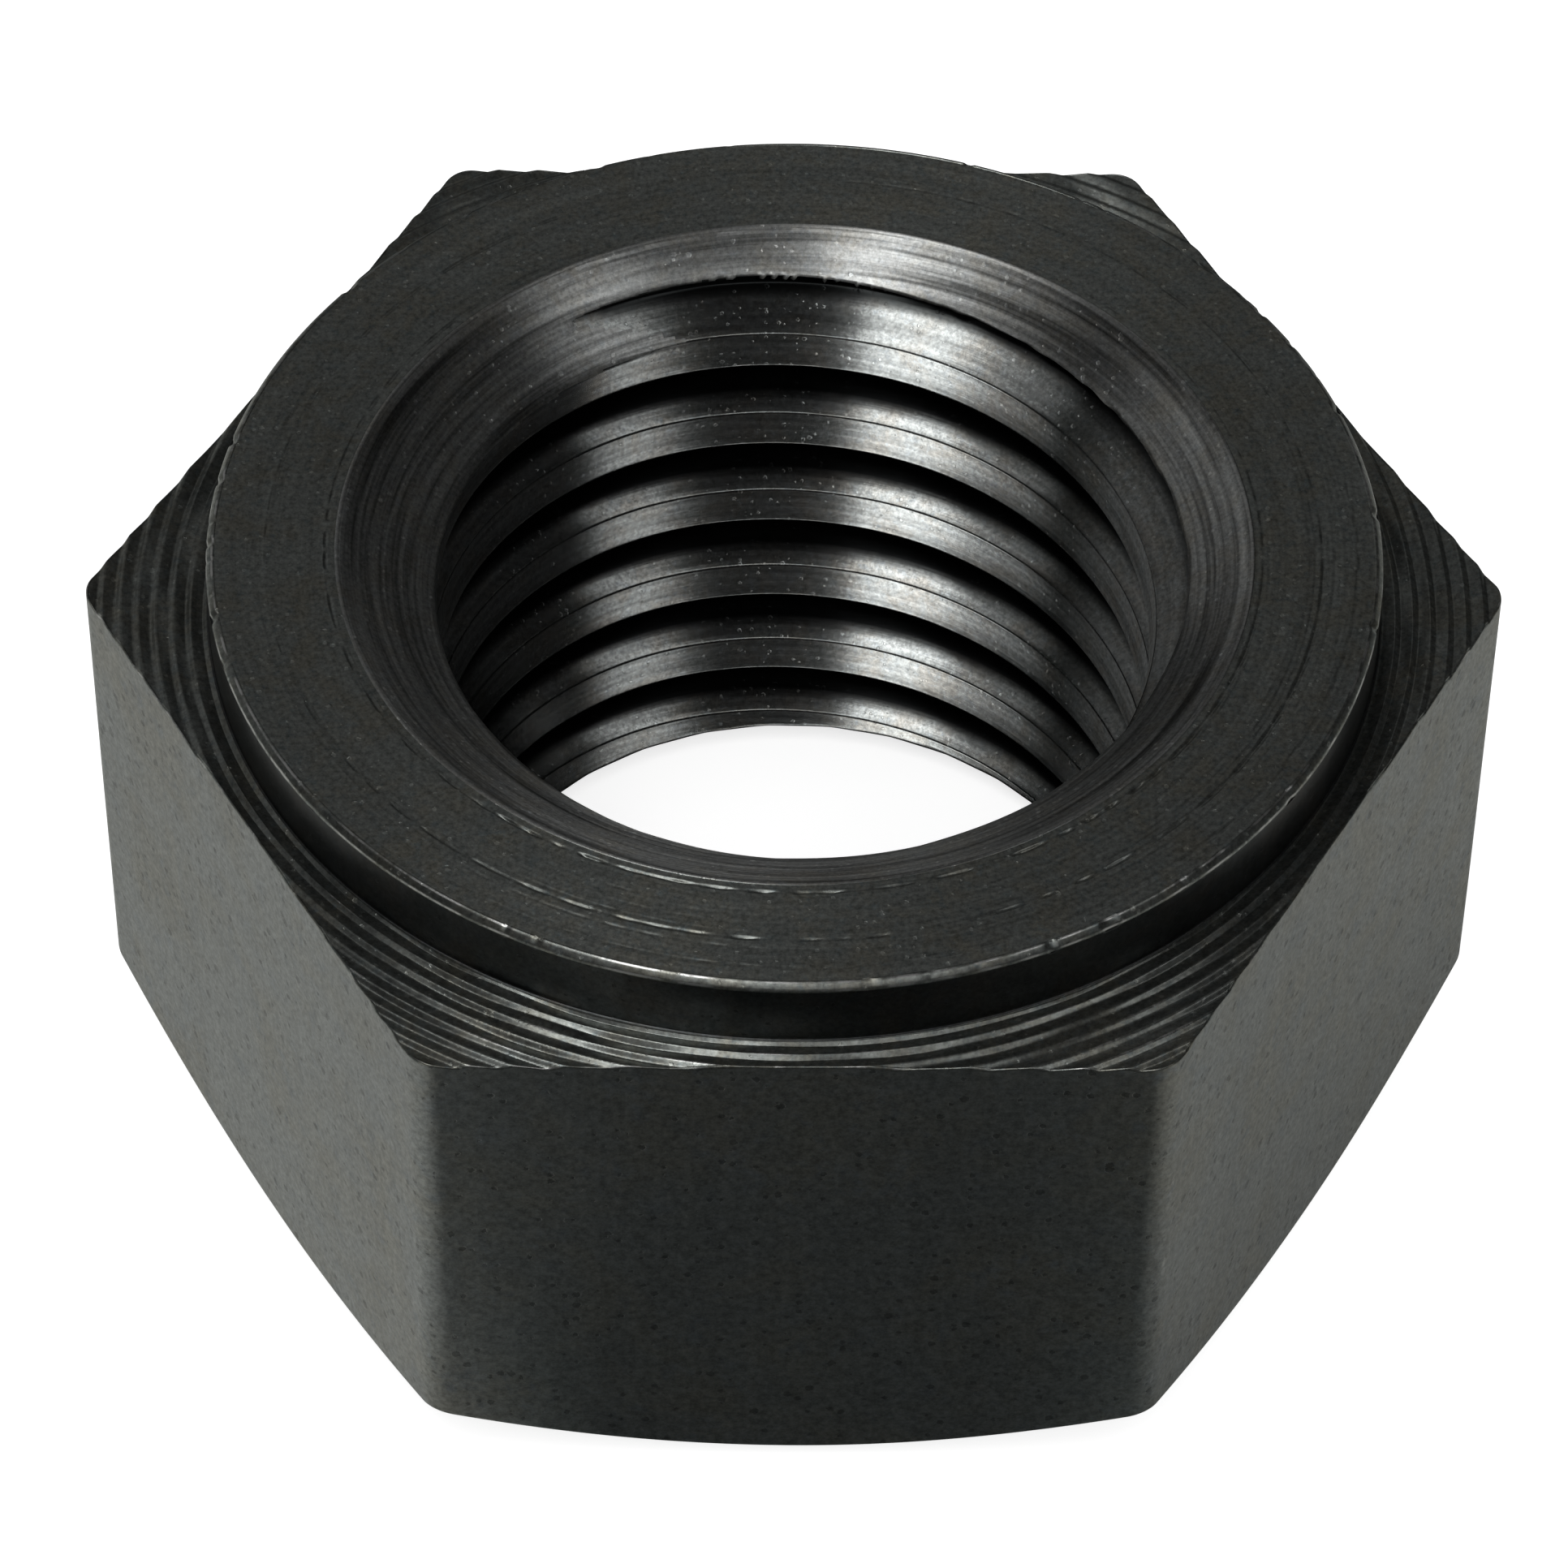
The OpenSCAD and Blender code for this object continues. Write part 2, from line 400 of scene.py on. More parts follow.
# Rubbed edges together with the painted highlight on the ridge tops
rubbed_and_highlight = mesh.attributes.new("edge_wear_and_ridge_highlight", "FLOAT", "POINT")
rubbed_and_highlight.data.foreach_set("value", wear_and_highlight.astype(np.float32))
# The groove's painted shade, handed to the materials point by point
groove_shade_layer = mesh.attributes.new("painted_groove_shade", "FLOAT", "POINT")
groove_shade_layer.data.foreach_set("value", groove_shade.astype(np.float32))
mesh.shade_smooth()
nut = bpy.data.objects.new("hex_nut_steel", mesh)
bpy.context.scene.collection.objects.link(nut)


# ------------------------------------------------------------ blacked steel
# All of the nut wears the same thin oiled black oxide, a conversion of the steel's own
# skin. It takes its look from the surface below: drawn, turned, countersunk or tapped.
def node_maker(tree):
    """Returns a function that adds a node, sets its values and links its inputs."""

    def make(kind, links=None, **settings):
        node = tree.nodes.new(kind)
        for key, value in settings.items():
            setattr(node, key, value)
        for key, value in (links or {}).items():
            socket = node.inputs[key]
            if isinstance(value, bpy.types.NodeSocket):
                tree.links.new(value, socket)
            else:
                socket.default_value = value
        return node

    return make


def new_group(name, inputs, outputs):
    """An empty shader group with named sockets: (name, type, default)."""
    tree = bpy.data.node_groups.new(name, "ShaderNodeTree")
    for label, kind, default in inputs:
        socket = tree.interface.new_socket(label, in_out="INPUT", socket_type=kind)
        socket.default_value = default
    for label, kind in outputs:
        tree.interface.new_socket(label, in_out="OUTPUT", socket_type=kind)
    return tree, node_maker(tree), tree.nodes.new("NodeGroupInput"), tree.nodes.new("NodeGroupOutput")


FLOAT, COLOUR = "NodeSocketFloat", "NodeSocketColor"

# Place on the nut as a lathe sees it: distance from the axis, height, and direction
lathe_place, make, given, out = new_group(
    "Lathe place", [], [("Radius mm", FLOAT), ("Height mm", FLOAT), ("Cosine", FLOAT), ("Sine", FLOAT)])
where = make("ShaderNodeTexCoord")
parts = make("ShaderNodeSeparateXYZ", {0: where.outputs["Object"]})
x2 = make("ShaderNodeMath", {0: parts.outputs[0], 1: parts.outputs[0]}, operation="MULTIPLY")
y2 = make("ShaderNodeMath", {0: parts.outputs[1], 1: parts.outputs[1]}, operation="MULTIPLY")
squared = make("ShaderNodeMath", {0: x2.outputs[0], 1: y2.outputs[0]}, operation="ADD")
from_axis = make("ShaderNodeMath", {0: squared.outputs[0]}, operation="SQRT")
cosine = make("ShaderNodeMath", {0: parts.outputs[0], 1: from_axis.outputs[0]}, operation="DIVIDE")
sine = make("ShaderNodeMath", {0: parts.outputs[1], 1: from_axis.outputs[0]}, operation="DIVIDE")
radius_mm = make("ShaderNodeMath", {0: from_axis.outputs[0], 1: 1000.0}, operation="MULTIPLY")
height_mm = make("ShaderNodeMath", {0: parts.outputs[2], 1: 1000.0}, operation="MULTIPLY")
for label, node in (("Radius mm", radius_mm), ("Height mm", height_mm), ("Cosine", cosine), ("Sine", sine)):
    lathe_place.links.new(node.outputs[0], out.inputs[label])

# Fine marks that run round the nut, as a turning tool or a tap leaves them. In the thread
# they climb with it, and the height is counted afresh from each groove's root. Without a
# climb they follow the distance from the axis alone. Lean tips the shading upwards.
turning_marks, make, given, out = new_group(
    "Turning marks", [("Lines per mm", FLOAT, 8.0), ("Waver round", FLOAT, 1.5), ("Climb mm", FLOAT, 0.0),
                      ("Root mm", FLOAT, 0.0), ("Lean", FLOAT, 0.0)],
    [("Height", FLOAT), ("Streak", FLOAT)])
place = make("ShaderNodeGroup", node_tree=lathe_place)
across = make("ShaderNodeMath", {0: place.outputs["Radius mm"], 1: given.outputs["Lines per mm"]},
              operation="MULTIPLY")
turn = make("ShaderNodeMath", {0: place.outputs["Sine"], 1: place.outputs["Cosine"]}, operation="ARCTAN2")
climb = make("ShaderNodeMath", {0: turn.outputs[0], 1: given.outputs["Climb mm"]}, operation="MULTIPLY")
climb = make("ShaderNodeMath", {0: climb.outputs[0], 1: 2 * math.pi}, operation="DIVIDE")
level = make("ShaderNodeMath", {0: place.outputs["Height mm"], 1: climb.outputs[0]}, operation="SUBTRACT")
next_root = make("ShaderNodeMath", {0: given.outputs["Root mm"], 1: given.outputs["Climb mm"]},
                 operation="ADD")
level = make("ShaderNodeMath", {0: level.outputs[0], 1: next_root.outputs[0], 2: given.outputs["Root mm"]},
             operation="WRAP")
along = make("ShaderNodeMath", {0: level.outputs[0], 1: given.outputs["Lines per mm"]}, operation="MULTIPLY")
round_a = make("ShaderNodeMath", {0: place.outputs["Cosine"], 1: given.outputs["Waver round"]},
               operation="MULTIPLY")
round_b = make("ShaderNodeMath", {0: place.outputs["Sine"], 1: given.outputs["Waver round"]},
               operation="MULTIPLY")
vector = make("ShaderNodeCombineXYZ", {0: across.outputs[0], 1: along.outputs[0], 2: round_a.outputs[0]})
lines = make("ShaderNodeTexNoise", {"Vector": vector.outputs[0], "W": round_b.outputs[0], "Scale": 1.0,
                                    "Detail": 2.0, "Roughness": 0.6}, noise_dimensions="4D")
coarse_vector = make("ShaderNodeVectorMath", {0: vector.outputs[0], 1: (0.3, 0.3, 0.7)}, operation="MULTIPLY")
coarse = make("ShaderNodeTexNoise", {"Vector": coarse_vector.outputs[0], "W": round_b.outputs[0],
                                     "Scale": 1.0, "Detail": 4.0, "Roughness": 0.65}, noise_dimensions="4D")
blend = make("ShaderNodeMath", {0: lines.outputs[0], 1: coarse.outputs[0]}, operation="ADD")
streak = make("ShaderNodeMapRange", {"Value": blend.outputs[0], "From Min": 0.75, "From Max": 1.28})
leaning = make("ShaderNodeMath", {0: level.outputs[0], 1: given.outputs["Lean"]}, operation="MULTIPLY")
leaning = make("ShaderNodeMath", {0: lines.outputs[0], 1: leaning.outputs[0]}, operation="SUBTRACT")
turning_marks.links.new(leaning.outputs[0], out.inputs["Height"])
turning_marks.links.new(streak.outputs[0], out.inputs["Streak"])

# Cloudy patches of the oxide: charcoal, olive brown where oil has dried, and blue black
oxide_mottle, make, given, out = new_group(
    "Oxide mottle",
    [("Charcoal", COLOUR, (0.03, 0.032, 0.033, 1)), ("Olive", COLOUR, (0.05, 0.045, 0.028, 1)),
     ("Blue black", COLOUR, (0.03, 0.038, 0.045, 1)), ("Patches per mm", FLOAT, 0.6),
     ("Grain per mm", FLOAT, 9.0)],
    [("Colour", COLOUR), ("Dryness", FLOAT), ("Grain", FLOAT)])
where = make("ShaderNodeTexCoord")
scale = make("ShaderNodeMath", {0: given.outputs["Patches per mm"], 1: 1000.0}, operation="MULTIPLY")
spot = make("ShaderNodeVectorMath", {0: where.outputs["Object"], 3: scale.outputs[0]}, operation="SCALE")
large = make("ShaderNodeTexNoise", {"Vector": spot.outputs[0], "Scale": 1.0, "Detail": 6.0, "Roughness": 0.68,
                                    "Distortion": 0.6})
small = make("ShaderNodeTexNoise", {"Vector": spot.outputs[0], "Scale": 5.3, "Detail": 5.0, "Roughness": 0.7})
olive_part = make("ShaderNodeMapRange", {"Value": large.outputs[0], "From Min": 0.42, "From Max": 0.66},
                  interpolation_type="SMOOTHSTEP")
blue_part = make("ShaderNodeMapRange", {"Value": small.outputs[0], "From Min": 0.5, "From Max": 0.72},
                 interpolation_type="SMOOTHSTEP")
first = make("ShaderNodeMix", {"Factor": olive_part.outputs[0], "A": given.outputs["Charcoal"],
                               "B": given.outputs["Olive"]}, data_type="RGBA")
second = make("ShaderNodeMix", {"Factor": blue_part.outputs[0], "A": first.outputs[2],
                                "B": given.outputs["Blue black"]}, data_type="RGBA")
dry = make("ShaderNodeMath", {0: large.outputs[0], 1: small.outputs[0]}, operation="MULTIPLY")
fine_scale = make("ShaderNodeMath", {0: given.outputs["Grain per mm"], 1: 1000.0}, operation="MULTIPLY")
fine_spot = make("ShaderNodeVectorMath", {0: where.outputs["Object"], 3: fine_scale.outputs[0]},
                 operation="SCALE")
fine = make("ShaderNodeTexNoise", {"Vector": fine_spot.outputs[0], "Scale": 1.0, "Detail": 2.0,
                                   "Roughness": 0.75})
grain = make("ShaderNodeMapRange", {"Value": fine.outputs[0], "From Min": 0.3, "From Max": 0.7})
oxide_mottle.links.new(grain.outputs[0], out.inputs["Grain"])
oxide_mottle.links.new(second.outputs[2], out.inputs["Colour"])
oxide_mottle.links.new(dry.outputs[0], out.inputs["Dryness"])

# Pits and specks: small dark holes in the skin where scale was pressed in and came away
pits, make, given, out = new_group(
    "Pits", [("Pits per mm", FLOAT, 3.0), ("Amount", FLOAT, 0.5)], [("Mask", FLOAT), ("Height", FLOAT)])
where = make("ShaderNodeTexCoord")
scale = make("ShaderNodeMath", {0: given.outputs["Pits per mm"], 1: 1000.0}, operation="MULTIPLY")
spot = make("ShaderNodeVectorMath", {0: where.outputs["Object"], 3: scale.outputs[0]}, operation="SCALE")
ragged = make("ShaderNodeTexNoise", {"Vector": spot.outputs[0], "Scale": 3.0, "Detail": 3.0,
                                     "Roughness": 0.7})
bent = make("ShaderNodeVectorMath", {0: ragged.outputs["Color"], 1: (0.55, 0.55, 0.55), 2: spot.outputs[0]},
            operation="MULTIPLY_ADD")
cells = make("ShaderNodeTexVoronoi", {"Vector": bent.outputs[0], "Scale": 1.0, "Randomness": 1.0})
chance = make("ShaderNodeSeparateColor", {0: cells.outputs["Color"]})
rare = make("ShaderNodeMath", {0: chance.outputs[0], 1: 3.0}, operation="POWER")
grown = make("ShaderNodeMath", {0: rare.outputs[0], 1: given.outputs["Amount"]}, operation="MULTIPLY")
depth = make("ShaderNodeMath", {0: grown.outputs[0], 1: cells.outputs["Distance"]}, operation="SUBTRACT")
hole_mask = make("ShaderNodeMapRange", {"Value": depth.outputs[0], "From Min": 0.0, "From Max": 0.12},
                 interpolation_type="SMOOTHSTEP")
pits.links.new(hole_mask.outputs[0], out.inputs["Mask"])
raised = make("ShaderNodeMath", {0: 1.0, 1: hole_mask.outputs[0]}, operation="SUBTRACT")
pits.links.new(raised.outputs[0], out.inputs["Height"])

# Edges rubbed back to bright steel in handling, broken up along their length; the shoulder's ridge tops also
# carry a painted highlight here
rubbed_edge_and_highlight, make, given, out = new_group(
    "Rubbed edge and ridge highlight", [("Oxide", COLOUR, (0.03, 0.03, 0.03, 1)), ("Bright steel", COLOUR, (0.5, 0.5, 0.49, 1)),
                    ("Amount", FLOAT, 1.0)],
    [("Colour", COLOUR), ("Mask", FLOAT)])
edge = make("ShaderNodeAttribute", attribute_name="edge_wear_and_ridge_highlight")
where = make("ShaderNodeTexCoord")
crumble = make("ShaderNodeTexNoise", {"Vector": where.outputs["Object"], "Scale": 5200.0, "Detail": 4.0,
                                      "Roughness": 0.7})
lifted = make("ShaderNodeMath", {0: edge.outputs["Fac"], 1: crumble.outputs[0]}, operation="MULTIPLY")
mask = make("ShaderNodeMapRange", {"Value": lifted.outputs[0], "From Min": 0.2, "From Max": 0.5},
            interpolation_type="SMOOTHSTEP")
strength = make("ShaderNodeMath", {0: mask.outputs[0], 1: given.outputs["Amount"]}, operation="MULTIPLY",
                use_clamp=True)
mixed = make("ShaderNodeMix", {"Factor": strength.outputs[0], "A": given.outputs["Oxide"],
                               "B": given.outputs["Bright steel"]}, data_type="RGBA")
rubbed_edge_and_highlight.links.new(mixed.outputs[2], out.inputs["Colour"])
rubbed_edge_and_highlight.links.new(strength.outputs[0], out.inputs["Mask"])


# Height at which the groove's root crosses the +X direction, counted within one pitch
root_mm = round((nut_height / 2 - pitch * groove_start / (2 * math.pi)) % pitch / MM, 3)
# Near black, painted into the thread's groove as painted shade
PAINTED_GROOVE_SHADE = (0.012, 0.013, 0.013, 1)
RUBBED_ROUGHNESS = 0.3


def blacked_steel(name, charcoal, olive, blue_black, patches, grain, grain_tone, lines, line_waver,
                  line_depth, streaks, pits_per_mm, pit_amount, pit_depth, pit_tone, roughness, bright_edges,
                  climb=0.0, lean=0.0, spread=0.0):
    """Black oxide over one kind of machined surface. Patches, grain, lines and pits are counted
    per mm and depths are in mm. Lean tips the shading upwards, and spread is how much wider
    than long the lines throw a reflection."""
    material = bpy.data.materials.new(name)
    material.use_nodes = True
    tree = material.node_tree
    tree.nodes.clear()
    make = node_maker(tree)
    surface = make("ShaderNodeOutputMaterial")
    steel = make("ShaderNodeBsdfPrincipled", {"Metallic": 1.0, "Anisotropic": spread,
                                              "Anisotropic Rotation": 0.25})
    round_axis = make("ShaderNodeTangent", direction_type="RADIAL", axis="Z")
    tree.links.new(round_axis.outputs[0], steel.inputs["Tangent"])

    # The oxide's colour, with its grain, streaks along the lines, pits and painted shade in the thread's
    # groove
    mottle = make("ShaderNodeGroup", {"Charcoal": (*charcoal, 1), "Olive": (*olive, 1),
                                      "Blue black": (*blue_black, 1), "Patches per mm": patches,
                                      "Grain per mm": grain}, node_tree=oxide_mottle)
    turned = make("ShaderNodeGroup", {"Lines per mm": lines, "Waver round": line_waver, "Climb mm": climb,
                                      "Root mm": root_mm, "Lean": lean}, node_tree=turning_marks)
    pitted = make("ShaderNodeGroup", {"Pits per mm": pits_per_mm, "Amount": pit_amount}, node_tree=pits)
    streak = make("ShaderNodeMapRange", {"Value": turned.outputs["Streak"], "To Min": 1.0 - streaks,
                                         "To Max": 1.0 + streaks})
    speck = make("ShaderNodeMapRange", {"Value": mottle.outputs["Grain"], "To Min": 1.0 - grain_tone,
                                        "To Max": 1.0 + grain_tone})
    gain = make("ShaderNodeMath", {0: streak.outputs[0], 1: speck.outputs[0]}, operation="MULTIPLY")
    streaked = make("ShaderNodeMix", {"Factor": 1.0, "A": mottle.outputs["Colour"], "B": gain.outputs[0]},
                    data_type="RGBA", blend_type="MULTIPLY")
    in_pit = make("ShaderNodeMapRange", {"Value": pitted.outputs["Mask"], "To Min": 1.0, "To Max": pit_tone})
    speckled = make("ShaderNodeMix", {"Factor": 1.0, "A": streaked.outputs[2], "B": in_pit.outputs[0]},
                    data_type="RGBA", blend_type="MULTIPLY")
    # Painted shade in the thread's groove, mixed over the oxide
    groove_shade_here = make("ShaderNodeAttribute", attribute_name="painted_groove_shade")
    groove_shaded = make("ShaderNodeMix", {"Factor": groove_shade_here.outputs["Fac"], "A": speckled.outputs[2],
                                   "B": PAINTED_GROOVE_SHADE}, data_type="RGBA")
    rubbed_and_highlight = make("ShaderNodeGroup", {"Oxide": groove_shaded.outputs[2], "Amount": bright_edges},
                  node_tree=rubbed_edge_and_highlight)
    tree.links.new(rubbed_and_highlight.outputs["Colour"], steel.inputs["Base Color"])

    # Satin where the oxide is dry, brighter where an edge is rubbed
    dull = make("ShaderNodeMapRange", {"Value": mottle.outputs["Dryness"], "From Min": 0.15, "From Max": 0.4,
                                       "To Min": roughness[0], "To Max": roughness[1]})
    polished = make("ShaderNodeMix", {"Factor": rubbed_and_highlight.outputs["Mask"], "A": dull.outputs[0],
                                      "B": RUBBED_ROUGHNESS}, data_type="FLOAT")
    tree.links.new(polished.outputs[0], steel.inputs["Roughness"])

    line_bump = make("ShaderNodeBump", {"Height": turned.outputs["Height"], "Strength": 1.0,
                                        "Distance": line_depth * MM})
    pit_bump = make("ShaderNodeBump", {"Height": pitted.outputs["Height"], "Strength": 1.0,
                                       "Distance": pit_depth * MM, "Normal": line_bump.outputs[0]})
    tree.links.new(pit_bump.outputs[0], steel.inputs["Normal"])
    tree.links.new(steel.outputs[0], surface.inputs["Surface"])
    return material


# One finish for each kind of surface, in the order of the numbers given to the faces
thread_tones = {"charcoal": (0.17, 0.178, 0.174), "olive": (0.157, 0.153, 0.14),
                "blue_black": (0.161, 0.174, 0.178)}
finishes = [
    blacked_steel("black_oxide_on_drawn_bar", charcoal=(0.195, 0.205, 0.20), olive=(0.20, 0.20, 0.18),
                  blue_black=(0.18, 0.195, 0.20), patches=0.3, grain=7.0, grain_tone=0.30, lines=2.0,
                  line_waver=40.0, line_depth=0.002, streaks=0.05, pits_per_mm=4.2, pit_amount=0.50,
                  pit_depth=0.006, pit_tone=0.62, roughness=(0.38, 0.46), bright_edges=0.6),
    blacked_steel("black_oxide_on_turned_steel", charcoal=(0.17, 0.18, 0.17), olive=(0.173, 0.171, 0.147),
                  blue_black=(0.14, 0.16, 0.16), patches=0.8, grain=8.0, grain_tone=0.35, lines=9.0,
                  line_waver=1.6, line_depth=0.0015, streaks=0.16, pits_per_mm=6.0, pit_amount=0.42,
                  pit_depth=0.003, pit_tone=1.5, roughness=(0.28, 0.38), bright_edges=0.8, spread=0.6),
    # The boss wall's oxide is painted about four times darker than the turned faces, as painted shade
    blacked_steel("black_oxide_on_boss_wall_painted_dark", charcoal=(0.043, 0.046, 0.046), olive=(0.047, 0.045, 0.042),
                  blue_black=(0.04, 0.043, 0.046), patches=0.8, grain=8.0, grain_tone=0.25, lines=9.0,
                  line_waver=4.0, line_depth=0.0015, streaks=0.2, pits_per_mm=6.0, pit_amount=0.4,
                  pit_depth=0.003, pit_tone=0.8, roughness=(0.28, 0.38), bright_edges=0.8),
    # The countersink's oxide is painted lighter than the other faces, as painted light on the countersink
    blacked_steel("black_oxide_in_countersink_with_painted_light", charcoal=(0.31, 0.317, 0.31), olive=(0.298, 0.292, 0.267),
                  blue_black=(0.292, 0.31, 0.317), patches=0.9, grain=10.0, grain_tone=0.30, lines=9.0,
                  line_waver=1.4, line_depth=0.009, streaks=0.7, pits_per_mm=6.0, pit_amount=0.42,
                  pit_depth=0.002, pit_tone=1.6, roughness=(0.32, 0.36), bright_edges=0.6, spread=0.9),
    blacked_steel("black_oxide_on_thread_flanks", **thread_tones, patches=0.8, grain=9.0, grain_tone=0.35,
                  lines=7.0, line_waver=2.0, line_depth=0.004, streaks=0.35, pits_per_mm=7.0,
                  pit_amount=0.40, pit_depth=0.0015, pit_tone=1.4, roughness=(0.18, 0.21),
                  bright_edges=0.4, climb=pitch / MM, spread=0.7),
    blacked_steel("black_oxide_on_thread_crests", **thread_tones, patches=0.9, grain=9.0, grain_tone=0.3,
                  lines=6.0, line_waver=1.4, line_depth=0.012, streaks=0.4, pits_per_mm=7.0,
                  pit_amount=0.40, pit_depth=0.0015, pit_tone=1.4, roughness=(0.19, 0.23),
                  bright_edges=0.3, climb=pitch / MM, lean=105.0, spread=0.7),
]
for finish in finishes:
    mesh.materials.append(finish)

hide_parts("hex_nut")
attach(nut, "root")


# ---------------------------------------------------------------- the studio
# A plain pale table, four soft boxes overhead with a dark gap between left and right, and a wall and a screen
# that only the steel reflects. For the steel's reflections alone the table glows: painted reflections of low
# pale cards, with painted shade between them and under the nut.
table_mesh = bpy.data.meshes.new("table_top")
table_half = 3.0
table_mesh.from_pydata([(x * table_half, y * table_half, 0) for x, y in ((-1, -1), (1, -1), (1, 1), (-1, 1))],
                       [], [(0, 1, 2, 3)])
table = bpy.data.objects.new("table_top", table_mesh)
table.location.z = -0.02 * MM
bpy.context.scene.collection.objects.link(table)
paint = bpy.data.materials.new("table_paint")
paint.use_nodes = True
paint.node_tree.nodes.clear()
make = node_maker(paint.node_tree)

# What the steel sees of the table, a glow no other ray sees: painted reflections of a pale card on either
# side, dim painted floor shade between them, and painted black shade under the nut, where the hole looks down
# on it
left_card, right_card, painted_floor_shade = 0.55, 0.44, 0.028
where = make("ShaderNodeTexCoord")
away = make("ShaderNodeVectorMath", {0: where.outputs["Object"]}, operation="LENGTH")
parts = make("ShaderNodeSeparateXYZ", {0: where.outputs["Object"]})
sideways = make("ShaderNodeMath", {0: parts.outputs[0], 1: away.outputs["Value"]}, operation="DIVIDE")
to_left = make("ShaderNodeMapRange", {"Value": sideways.outputs[0], "From Min": -0.25, "From Max": -0.7,
                                      "To Min": 0.0, "To Max": left_card}, interpolation_type="SMOOTHSTEP")
to_right = make("ShaderNodeMapRange", {"Value": sideways.outputs[0], "From Min": 0.3, "From Max": 0.8,
                                       "To Min": 0.0, "To Max": right_card}, interpolation_type="SMOOTHSTEP")
fall = make("ShaderNodeMapRange", {"Value": away.outputs["Value"], "From Min": 13 * MM, "From Max": 24 * MM,
                                   "To Min": 0.48})
to_right = make("ShaderNodeMath", {0: to_right.outputs[0], 1: fall.outputs[0]}, operation="MULTIPLY")
cards = make("ShaderNodeMath", {0: to_left.outputs[0], 1: to_right.outputs[0]}, operation="ADD")
# No glow within 10 mm of the axis: painted black shade under the nut, seen through the hole
clear = make("ShaderNodeMapRange", {"Value": away.outputs["Value"], "From Min": 10 * MM, "From Max": 13 * MM},
             interpolation_type="SMOOTHSTEP")
cards = make("ShaderNodeMath", {0: cards.outputs[0], 1: clear.outputs[0]}, operation="MULTIPLY")
floor_shade_glow = make("ShaderNodeMath", {0: painted_floor_shade, 1: clear.outputs[0]}, operation="MULTIPLY")
low_light = make("ShaderNodeMath", {0: cards.outputs[0], 1: floor_shade_glow.outputs[0]}, operation="ADD")
tint = make("ShaderNodeMapRange", {"Value": cards.outputs[0], "From Max": 0.2})
low_colour = make("ShaderNodeMix", {"Factor": tint.outputs[0], "A": (0.84, 1.0, 0.97, 1),
                                    "B": (0.99, 1.0, 0.95, 1)}, data_type="RGBA")
mirrored = make("ShaderNodeEmission", {"Color": low_colour.outputs[2], "Strength": low_light.outputs[0]})

# What everything else sees: matt white that glows a little, so the table stays even
matt = make("ShaderNodeBsdfPrincipled", {"Base Color": (0.45, 0.45, 0.45, 1), "Roughness": 0.9,
                                         "Specular IOR Level": 0.0, "Emission Color": (1.0, 1.0, 1.0, 1),
                                         "Emission Strength": 0.76})
seen = make("ShaderNodeLightPath")
chosen = make("ShaderNodeMixShader", {0: seen.outputs["Is Glossy Ray"], 1: matt.outputs[0],
                                      2: mirrored.outputs[0]})
make("ShaderNodeOutputMaterial", {"Surface": chosen.outputs[0]})
table_mesh.materials.append(paint)


def soft_box(name, place, width, length, power):
    """A rectangular soft light hung level and facing straight down; power in watts."""
    light = bpy.data.lights.new(name, "AREA")
    light.shape = "RECTANGLE"
    light.size, light.size_y, light.energy = width, length, power
    box = bpy.data.objects.new(name, light)
    box.location = place
    bpy.context.scene.collection.objects.link(box)


soft_box("soft_box_left", (-0.067, -0.082, 0.30), 0.078, 0.245, 0.285)
soft_box("soft_box_far_left", (-0.150, -0.06, 0.30), 0.080, 0.18, 0.025)
soft_box("soft_box_right", (0.167, -0.10, 0.30), 0.07, 0.22, 0.085)
soft_box("soft_box_front", (0.035, -0.245, 0.28), 0.22, 0.10, 0.165)

world = bpy.data.worlds.new("studio")
bpy.context.scene.world = world
world.use_nodes = True
world.node_tree.nodes.clear()
make = node_maker(world.node_tree)

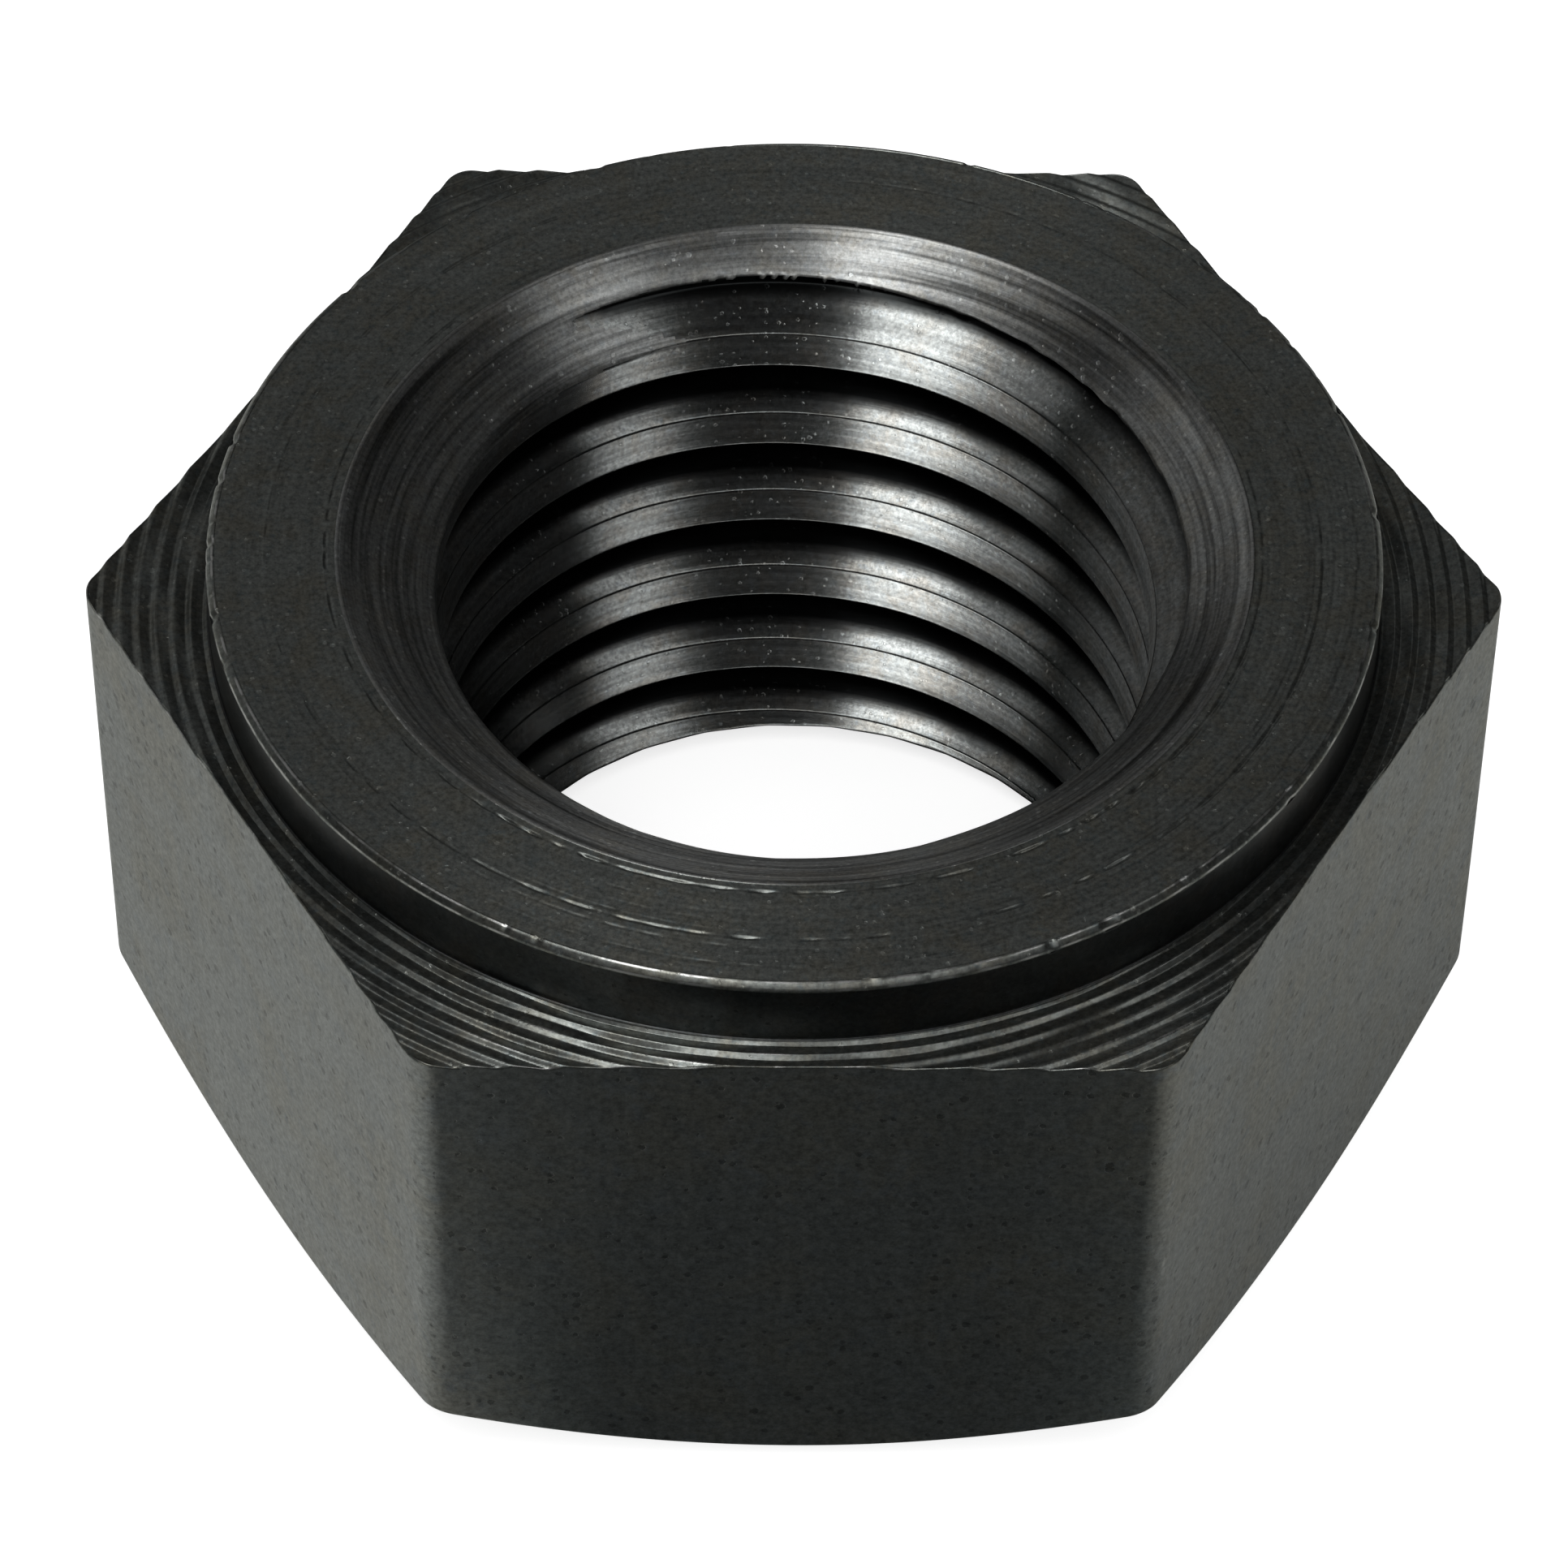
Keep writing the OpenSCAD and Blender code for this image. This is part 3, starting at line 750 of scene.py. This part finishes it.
# A pale wall high behind the nut and a screen behind it to the left, each a soft round patch
toward_wall, toward_screen = (0.0, 0.74, 0.67), (-0.70, 0.51, 0.50)
where = make("ShaderNodeTexCoord")
facing = make("ShaderNodeVectorMath", {0: where.outputs["Generated"], 1: toward_wall},
              operation="DOT_PRODUCT")
wall = make("ShaderNodeMapRange", {"Value": facing.outputs["Value"], "From Min": 0.965, "From Max": 0.9995,
                                   "To Min": 0.03, "To Max": 0.26}, interpolation_type="SMOOTHSTEP")
facing = make("ShaderNodeVectorMath", {0: where.outputs["Generated"], 1: toward_screen},
              operation="DOT_PRODUCT")
screen = make("ShaderNodeMapRange", {"Value": facing.outputs["Value"], "From Min": 0.84, "From Max": 0.97,
                                     "To Min": 0.0, "To Max": 0.20}, interpolation_type="SMOOTHSTEP")
walls = make("ShaderNodeMath", {0: wall.outputs[0], 1: screen.outputs[0]}, operation="ADD")
seen = make("ShaderNodeLightPath")
room = make("ShaderNodeMix", {"Factor": seen.outputs["Is Glossy Ray"], "A": 0.95, "B": walls.outputs[0]},
            data_type="FLOAT")
glow = make("ShaderNodeBackground", {"Strength": room.outputs[0], "Color": (1.0, 1.0, 1.0, 1)})
make("ShaderNodeOutputWorld", {"Surface": glow.outputs[0]})
bpy.context.scene.view_settings.view_transform = "Standard"


# ---------------------------------------------------------------- the camera
# A long lens looking down at nearly 48 degrees, almost square on to one wrench flat.
nut_middle = Vector((0, 0, nut_height / 2))
eye_distance = 159.24 * MM
eye_height = math.radians(47.732)
eye_turn = math.radians(-0.622)
tilt = math.radians(0.681)
eye = nut_middle + eye_distance * Vector((math.sin(eye_turn) * math.cos(eye_height),
                                          -math.cos(eye_turn) * math.cos(eye_height), math.sin(eye_height)))
aim = nut_middle + Vector((-0.174 * MM, -0.341 * MM, 0))
camera = bpy.data.cameras.new("camera")
camera.lens = 162.89
camera.sensor_width = 36.0
camera.clip_start, camera.clip_end = 0.005, 50.0
viewer = bpy.data.objects.new("camera", camera)
viewer.matrix_world = (Matrix.Translation(eye) @ (aim - eye).to_track_quat("-Z", "Y").to_matrix().to_4x4()
                       @ Matrix.Rotation(tilt, 4, "Z"))
bpy.context.scene.collection.objects.link(viewer)
bpy.context.scene.camera = viewer
